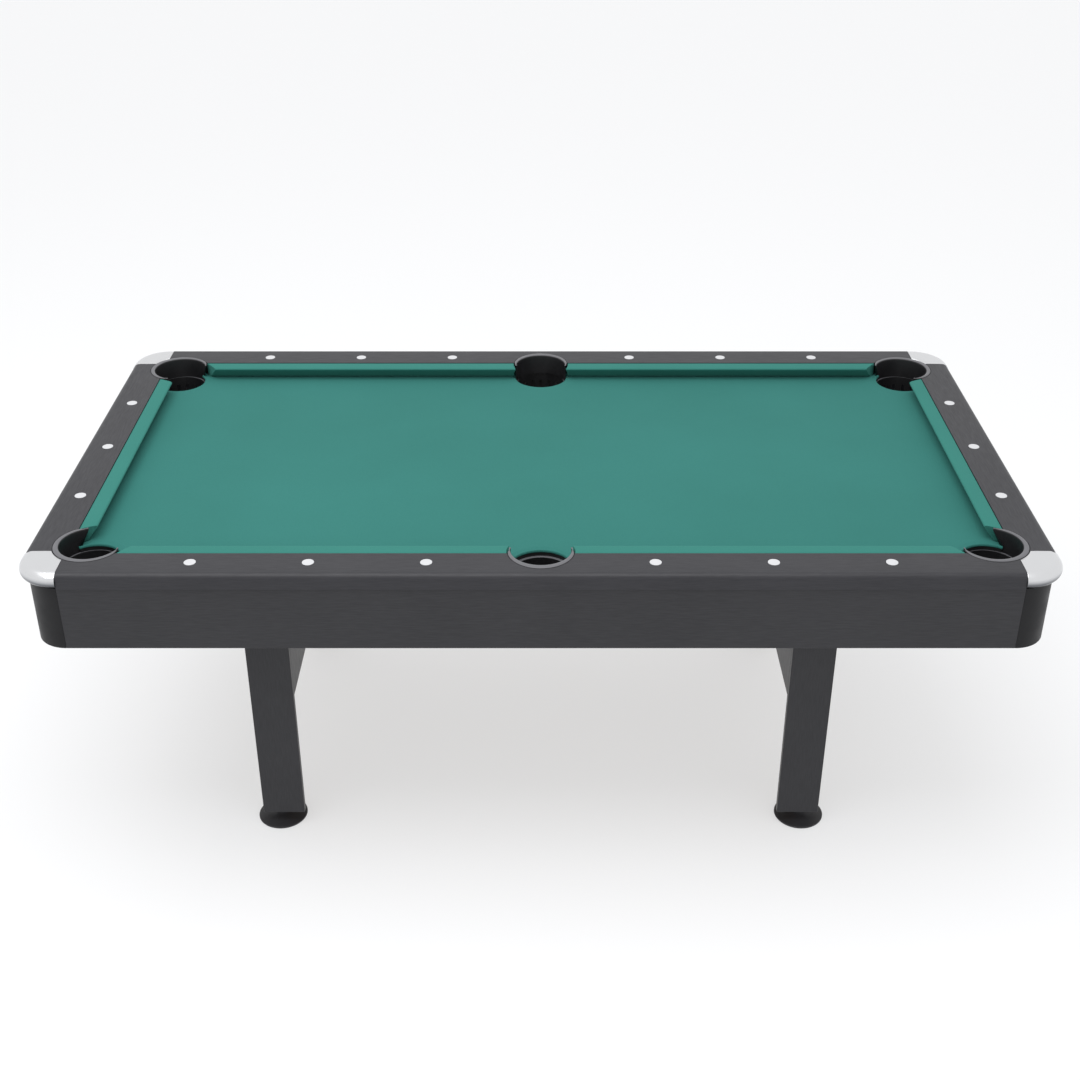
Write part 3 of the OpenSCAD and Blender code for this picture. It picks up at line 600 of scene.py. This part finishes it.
def scattered(name, places, turns, build, finish, nodes):
    """Copies a small solid to each place with a node tree, and keeps the plain mesh of it all."""
    dots = bpy.data.meshes.new(name + "_places")
    dots.from_pydata(places, [], [])
    lean = dots.attributes.new("lean", "FLOAT_VECTOR", "POINT")
    for item, turn in zip(lean.data, turns):
        item.vector = turn
    holder = link_in(bpy.data.objects.new(name, dots))
    tree = bpy.data.node_groups.new(name + "_nodes", "GeometryNodeTree")
    tree.interface.new_socket("Geometry", in_out="INPUT", socket_type="NodeSocketGeometry")
    sizes = {}
    head = add(tree, "NodeGroupInput")
    made = build(tree, head, sizes)
    lean_field = add(tree, "GeometryNodeInputNamedAttribute", {"data_type": "FLOAT_VECTOR"}, {
        "Name": "lean"})
    copies = add(tree, "GeometryNodeInstanceOnPoints", {}, {
        "Points": head.outputs["Geometry"], "Instance": made, "Rotation": lean_field.outputs[0]})
    real = add(tree, "GeometryNodeRealizeInstances", {}, {"Geometry": copies.outputs["Instances"]})
    painted = add(tree, "GeometryNodeSetMaterial", {}, {
        "Geometry": real.outputs["Geometry"], "Material": finish})
    tree.interface.new_socket("Geometry", in_out="OUTPUT", socket_type="NodeSocketGeometry")
    add(tree, "NodeGroupOutput", {}, {"Geometry": painted.outputs["Geometry"]})
    modifier = holder.modifiers.new("copies", "NODES")
    modifier.node_group = tree
    for socket, value in sizes.items():
        modifier[socket] = value
    plain = bpy.data.meshes.new_from_object(holder.evaluated_get(bpy.context.evaluated_depsgraph_get()))
    holder.modifiers.remove(modifier)
    holder.data = plain
    plain.shade_smooth()
    plain.set_sharp_from_angle(angle=math.radians(32))
    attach(holder, "table")
    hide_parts(*nodes)
    return holder


def size_input(tree, sizes, name, value):
    """Adds a named size to a node tree and notes the value that its modifier gets."""
    socket = tree.interface.new_socket(name, in_out="INPUT", socket_type="NodeSocketFloat")
    sizes[socket.identifier] = value
    return name


def screw_head(tree, head, sizes):
    """A pan head: a domed disc with a cross sunk in it, its top along +Z."""
    wide = size_input(tree, sizes, "Head radius", 0.0045)
    tall = size_input(tree, sizes, "Head height", 0.0029)
    dome = add(tree, "GeometryNodeMeshUVSphere", {}, {
        "Segments": 20, "Rings": 12, "Radius": head.outputs[wide]})
    squash = add(tree, "ShaderNodeCombineXYZ", {}, {0: 1.0, 1: 1.0})
    flat = add(tree, "ShaderNodeMath", {"operation": "DIVIDE"}, {
        0: head.outputs[tall], 1: head.outputs[wide]})
    tree.links.new(flat.outputs[0], squash.inputs[2])
    pressed = add(tree, "GeometryNodeTransform", {}, {
        "Geometry": dome.outputs["Mesh"], "Scale": squash.outputs[0]})
    slots = []
    for size in ((0.0052, 0.0011, 0.003), (0.0011, 0.0052, 0.003)):
        bar = add(tree, "GeometryNodeMeshCube", {}, {"Size": size})
        raised = add(tree, "GeometryNodeTransform", {}, {
            "Geometry": bar.outputs["Mesh"], "Translation": (0.0, 0.0, 0.0032)})
        slots.append(raised.outputs["Geometry"])
    sunk = add(tree, "GeometryNodeMeshBoolean", {"operation": "DIFFERENCE"}, {
        "Mesh 1": pressed.outputs["Geometry"]})
    for bar in slots:
        tree.links.new(bar, sunk.inputs["Mesh 2"])
    return sunk.outputs["Mesh"]


screws, leans = [], []
for centre, low, high in islands("bracket_screws"):
    size = high - low
    if size.y < size.x:
        back = high.y if centre.y > 0 else low.y
        screws.append((centre.x, back, centre.z))
        leans.append((math.radians(90 if centre.y > 0 else -90), 0, 0))
    else:
        back = high.x if centre.x > 0 else low.x
        screws.append((back, centre.y, centre.z))
        leans.append((0, math.radians(-90 if centre.x > 0 else 90), 0))
scattered("bracket_screw_heads", screws, leans, screw_head, zinc, ["bracket_screws"])

# ---------------------------------------------------------------------------
# Pockets. Each is a black polypropylene rim and wall let into the rails, and a
# slotted cup screwed up under the bed, where the balls come to rest.
# ---------------------------------------------------------------------------
pocket_black = moulded("black_polypropylene", "#19191B", 0.42, 0.0012)
# A lighter grey for the tops of the rims and the cups' lips: a painted highlight on the black plastic where
# the overhead light falls.
painted_highlight_grey = moulded("satin_rim_polypropylene", "#5E5E62", 0.36, 0.0012)
rim_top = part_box("pocket_liner_rear_right")[1].z
rim_steps = 96
rim_thick = 0.0049
tip_fade = math.radians(24)


def on_the_lip(centre, outward):
    """True for the top of a cup's flange, which gets the lighter grey as a painted highlight for the light
    that falls inside the pocket.
    """
    return outward.z > 0.9 and centre.z > bed_bottom - 0.002


for name, (heading, mouth, centre) in POCKETS.items():
    reach = math.acos(-mouth["reach"] / mouth["rim"])
    low_reach = math.acos(-mouth["low_reach"] / mouth["mouth"])
    verts = []
    for i in range(rim_steps + 1):
        part = 2 * i / rim_steps - 1
        turn = reach * part
        inner = -mouth["shift"] * math.cos(turn) + math.sqrt(
            mouth["mouth"] ** 2 - (mouth["shift"] * math.sin(turn)) ** 2)
        near_tip = min(1.0, (reach - abs(turn)) / tip_fade)
        full = 0.24 + 0.76 * math.sin(near_tip * math.pi / 2)
        outer = inner + (mouth["rim"] - inner) * full
        wide = outer - inner
        section = [
            (inner + 0.0025, bed_bottom + 0.0002), (inner, bed_bottom + 0.0002),
            (inner, cloth_top), (inner, rim_top - 0.004),
            (inner + 0.0004, rim_top - 0.0022), (inner + 0.0014, rim_top - 0.0009),
            (inner + 0.0030, rim_top - 0.0001), (inner + wide * 0.5, rim_top),
            (outer - 0.0026, rim_top - 0.0002), (outer - 0.0011, rim_top - 0.0010),
            (outer - 0.0002, rim_top - 0.0026), (outer, rim_top - 0.0042),
            (outer - 0.0008, rim_top - rim_thick), (inner + 0.0025, rim_top - rim_thick),
            (inner + 0.0025, cloth_top),
        ]
        # The wall is shorter than the rim at the bed, so that its ends slope back from the tips.
        for radius, height in section:
            under = rim_top - rim_thick
            lower = max(0.0, min(1.0, (under - height) / (under - cloth_top)))
            angle = turn + (low_reach - reach) * part * lower
            if radius < outer:
                here = -mouth["shift"] * math.cos(angle) + math.sqrt(
                    mouth["mouth"] ** 2 - (mouth["shift"] * math.sin(angle)) ** 2)
                radius += here - inner
            x, y = out_of_pocket(name, min(max(radius, 0.05), max(outer, radius)), angle)
            verts.append((x, y, height))
    cols = len(section)
    rows = rim_steps + 1
    faces = tube_faces(rows, cols)
    rim = put("pocket_rim_" + name, verts, faces, pocket_black, "table",
              ["pocket_liner_" + name], smooth=60)
    rim.data.materials.append(painted_highlight_grey)
    solid = bmesh.new()
    solid.from_mesh(rim.data)
    bmesh.ops.recalc_face_normals(solid, faces=solid.faces[:])
    # The top faces of the rim get the lighter grey: a painted highlight for the light on the top of the
    # black plastic.
    for face in solid.faces:
        if min(vert.co.z for vert in face.verts) > rim_top - 0.0015:
            face.material_index = 1
    solid.to_mesh(rim.data)
    solid.free()
    dressed("pocket_cup_" + name, pocket_black, 0.0006, painted_highlight_grey, on_the_lip)

# ---------------------------------------------------------------------------
# Rails. Fibreboard profiles wrapped in charcoal foil, bolted up through the
# bed, with round white sights let into their tops.
# ---------------------------------------------------------------------------
rail_foil_long = foil("charcoal_rail_foil_along", 0, "#29292D", "#313135")
rail_foil_end = foil("charcoal_rail_foil_across", 1, "#29292D", "#313135")
# The rails' upright faces by the pockets get the same black: painted shade for the pocket openings, and
# black edge paint.
dressed("rail_front", rail_foil_long, 0.0006, edge_paint_and_shade, at_a_pocket)
dressed("rail_rear", rail_foil_long, 0.0006, edge_paint_and_shade, at_a_pocket)
dressed("rail_left", rail_foil_end, 0.0006, edge_paint_and_shade, at_a_pocket)
dressed("rail_right", rail_foil_end, 0.0006, edge_paint_and_shade, at_a_pocket)
dressed("rail_bolts", zinc, 0.0004)

# Cast acrylic with a pearl filler: white, glossy, and a little cloudy inside.
pearl, pearl_tree, pearl_shader = new_finish("white_pearl_acrylic", "#E9EAEC", 0.18)
pearl_place = add(pearl_tree, "ShaderNodeTexCoord").outputs["Object"]
pearl_cloud = add(pearl_tree, "ShaderNodeTexNoise", {}, {
    "Vector": pearl_place, "Scale": 190.0, "Detail": 3.0, "Distortion": 1.5})
pearl_tone = add(pearl_tree, "ShaderNodeMix", {"data_type": "RGBA"}, {
    0: pearl_cloud.outputs["Fac"], 6: srgb("#B9BABD"), 7: srgb("#C6C7CA")})
pearl_tree.links.new(pearl_tone.outputs[2], pearl_shader.inputs["Base Color"])


def sight_disc(tree, head, sizes):
    """A disc with a worn edge: a low stack of two cylinders, the upper one a little smaller."""
    wide = size_input(tree, sizes, "Radius", 0.0123)
    tall = size_input(tree, sizes, "Thickness", 0.0022)
    lower = add(tree, "GeometryNodeMeshCylinder", {}, {
        "Vertices": 48, "Side Segments": 1, "Radius": head.outputs[wide], "Depth": head.outputs[tall]})
    narrow = add(tree, "ShaderNodeMath", {"operation": "SUBTRACT"}, {0: head.outputs[wide], 1: 0.0006})
    upper = add(tree, "GeometryNodeMeshCone", {"fill_type": "NGON"}, {
        "Vertices": 48, "Side Segments": 1, "Radius Top": narrow.outputs[0],
        "Radius Bottom": head.outputs[wide], "Depth": 0.0002})
    half = add(tree, "ShaderNodeMath", {"operation": "MULTIPLY"}, {0: head.outputs[tall], 1: 0.5})
    lift = add(tree, "ShaderNodeCombineXYZ", {}, {2: half.outputs[0]})
    raised = add(tree, "GeometryNodeTransform", {}, {
        "Geometry": upper.outputs["Mesh"], "Translation": lift.outputs[0]})
    stack = add(tree, "GeometryNodeJoinGeometry", {}, {"Geometry": lower.outputs["Mesh"]})
    tree.links.new(raised.outputs["Geometry"], stack.inputs["Geometry"])
    return stack.outputs["Geometry"]


sights = [tuple(centre) for centre, low, high in islands("rail_sights")]
scattered("rail_sight_discs", sights, [(0, 0, 0)] * len(sights), sight_disc, pearl,
          ["rail_sights"])

# ---------------------------------------------------------------------------
# Corner caps. Thin aluminium castings with a satin silver finish that bulge
# over the corner between two rails and stop against the pocket's rim.
# ---------------------------------------------------------------------------
cast, cast_tree, cast_shader = new_finish("satin_cast_aluminium", "#DADBDD", 0.24)
cast_shader.inputs["Metallic"].default_value = 1.0
cast_place = add(cast_tree, "ShaderNodeTexCoord").outputs["Object"]
# A tumbled casting keeps a soft haze, so its gloss wanders over patches of about 20 mm.
haze = add(cast_tree, "ShaderNodeTexNoise", {}, {"Vector": cast_place, "Scale": 48.0, "Detail": 2.0})
haze_range = add(cast_tree, "ShaderNodeMapRange", {}, {
    "Value": haze.outputs["Fac"], "From Min": 0.3, "From Max": 0.7, "To Min": 0.21, "To Max": 0.27})
# Its lower edge is painted a darker grey over some 17 mm: painted shade on the lower part of the cap.
cast_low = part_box("corner_cap_rear_right")[0].z
cast_height = add(cast_tree, "ShaderNodeSeparateXYZ", {}, {0: cast_place})
cap_low_painted_shade = add(cast_tree, "ShaderNodeMapRange", {"interpolation_type": "SMOOTHSTEP"}, {
    "Value": cast_height.outputs[2], "From Min": cast_low + 0.010, "From Max": cast_low + 0.024})
cap_tone_painted_shade = add(cast_tree, "ShaderNodeMix", {"data_type": "RGBA"}, {
    0: cap_low_painted_shade.outputs["Result"], 6: srgb("#5E6064"), 7: srgb("#DADBDD")})
cast_tree.links.new(cap_tone_painted_shade.outputs[2], cast_shader.inputs["Base Color"])
cast_tree.links.new(haze_range.outputs["Result"], cast_shader.inputs["Roughness"])

cap_bulge = 0.0825
round_start = 0.0215
round_across = 0.0235
round_down = 0.0185
crown_drop = 0.0003
cap_rim = corner_mouth["rim"] + 0.0008
for corner, (sx, sy) in CORNERS.items():
    cap_low, cap_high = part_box("corner_cap_rear_right")
    pocket = middle("pocket_cup_rear_right")
    arc = Vector((cap_high.x - cap_bulge, cap_high.y - cap_bulge))
    cap_top = cap_high.z
    stations = []
    for i in range(5):
        stations.append((Vector((cap_low.x + (arc.x - cap_low.x) * i / 5, arc.y)), math.pi / 2))
    for i in range(33):
        stations.append((arc, math.pi / 2 * (1 - i / 32)))
    for i in range(1, 7):
        stations.append((Vector((arc.x, arc.y - (arc.y - cap_low.y) * i / 6)), 0.0))
    verts = []
    for base, turn in stations:
        way = Vector((math.cos(turn), math.sin(turn)))
        gap = base - Vector((pocket.x, pocket.y))
        inner = -gap.dot(way) + math.sqrt(gap.dot(way) ** 2 - gap.length_squared + cap_rim ** 2)
        outer = cap_bulge
        section = [
            (inner, cap_top - 0.006), (inner, cap_top - 0.0012), (inner + 0.0012, cap_top - 0.0002)]
        flat = outer - round_start
        for part in (0.3, 0.65, 1.0):
            section.append((inner + 0.0012 + (flat - inner - 0.0012) * part, cap_top - crown_drop * part))
        for k in range(1, 11):
            bend = math.radians(9 * k)
            fall = crown_drop + round_down * (1 - math.cos(bend))
            section.append((flat + round_across * math.sin(bend), cap_top - fall))
        section += [
            (outer + 0.0019, cap_top - 0.0215), (outer + 0.0011, cap_top - 0.0243),
            (outer - 0.0004, cap_top - 0.0270), (outer - 0.0026, cap_top - 0.0296),
            (outer - 0.0052, cap_top - 0.0320), (outer - 0.0072, cap_low.z),
        ]
        for along, height in section:
            spot = base + way * along
            verts.append((sx * spot.x, sy * spot.y, height))
    faces = strip_faces(len(stations), len(section))
    cap = put("silver_cap_" + corner, verts, faces, cast, "table",
              ["corner_cap_" + corner], smooth=55, flip=sx * sy < 0)
    if cap.data.polygons[len(section) * 3 + 4].normal.z < 0:
        cap.data.flip_normals()
    casting = cap.modifiers.new("casting_wall", "SOLIDIFY")
    casting.thickness = 0.0024
    casting.offset = -1
    casting_edge = cap.modifiers.new("casting_edge", "BEVEL")
    casting_edge.width = 0.0005
    casting_edge.segments = 2
    casting_edge.limit_method = "ANGLE"
    casting_edge.angle_limit = math.radians(50)

# ---------------------------------------------------------------------------
# Cushions. Strips of gum rubber with a sharp nose, wrapped in the same cloth
# and drawn tight into a groove along the rail, with mitred ends at the pockets.
# ---------------------------------------------------------------------------
cushion_felt = pool_cloth("blue_green_cushion_cloth", "#306B63", "#387970")
nose_out = 0.035
mitre_long = math.tan(math.radians(37))
mitre_end = math.tan(math.radians(26))
rise = rail_top - cloth_top


def cushion_section():
    """Points from the rail outwards: how far out of the cloth line and how high over the bed."""
    points = [(0.0003, 0.006), (0.0003, rise - 0.0036), (0.0008, rise - 0.0020), (0.0020, rise - 0.0010)]
    points += [(0.005, rise - 0.0005), (0.012, rise - 0.0003), (0.020, rise - 0.0004)]
    points += [(0.027, rise - 0.0007), (0.0310, rise - 0.0011), (0.0331, rise - 0.0018)]
    points += [(0.0344, rise - 0.0030), (nose_out, rise - 0.0044), (0.0347, rise - 0.0058)]
    points += [(0.0336, rise - 0.0074), (0.027, rise - 0.0155), (0.020, rise - 0.0242)]
    points += [(0.0140, rise - 0.0312), (0.0120, 0.0012), (0.0090, 0.0010), (0.0020, 0.0010)]
    points.append((0.0003, 0.0022))
    return points


def cushion(name, spot, starts, ends, node):
    """Sweeps the section along a rail. spot gives a row point from a distance along the rail, one
    out of the cloth line and a height; starts and ends give where a line of it begins and stops."""
    section = cushion_section()
    core_out = sum(p[0] for p in section) / len(section)
    core_up = sum(p[1] for p in section) / len(section)
    crown = 0.0012
    stops = [(0, k) for k in range(5)]
    stops += [(part / 12, None) for part in range(1, 12)]
    stops += [(1, k) for k in range(4, -1, -1)]
    verts = []
    for part, k in stops:
        for out, up in section:
            first, last = starts(out), ends(out)
            along = first + (last - first) * part
            if k is not None:
                bend = math.pi / 2 * k / 4
                pull = crown * (1 - math.sin(bend))
                back = crown * (1 - math.cos(bend))
                along = first + back if part == 0 else last - back
                reach = math.hypot(out - core_out, up - core_up)
                out, up = out - (out - core_out) * pull / reach, up - (up - core_up) * pull / reach
            verts.append(spot(along, out, up))
    cols = len(section)
    rows = len(stops)
    faces = tube_faces(rows, cols)
    piece = put(name, verts, faces, cushion_felt, "table", [node], smooth=50)
    solid = bmesh.new()
    solid.from_mesh(piece.data)
    bmesh.ops.recalc_face_normals(solid, faces=solid.faces[:])
    solid.to_mesh(piece.data)
    solid.free()
    return piece


long_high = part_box("cushion_rear_right")[1]
end_low, end_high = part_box("cushion_right")
side_pocket = POCKETS["rear_middle"][2]
side_notch = middle_mouth["rim"] + 0.0012
for corner, (sx, sy) in CORNERS.items():
    def long_spot(along, out, up, sx=sx, sy=sy):
        return (sx * along, sy * (cloth_line_y - out), cloth_top + up)

    def by_side_pocket(out):
        return math.sqrt(side_notch ** 2 - (cloth_line_y - out - side_pocket.y) ** 2)

    def by_corner(out):
        return long_high.x - 0.0004 - out * mitre_long

    cushion("cushion_cover_" + corner, long_spot, by_side_pocket, by_corner, "cushion_" + corner)
for side, sx in (("left", -1), ("right", 1)):
    def end_spot(along, out, up, sx=sx):
        return (sx * (cloth_line_x - out), along, cloth_top + up)

    cushion("cushion_cover_" + side, end_spot,
            lambda out: end_low.y + 0.0004 + out * mitre_end,
            lambda out: end_high.y - 0.0004 - out * mitre_end,
            "cushion_" + side)
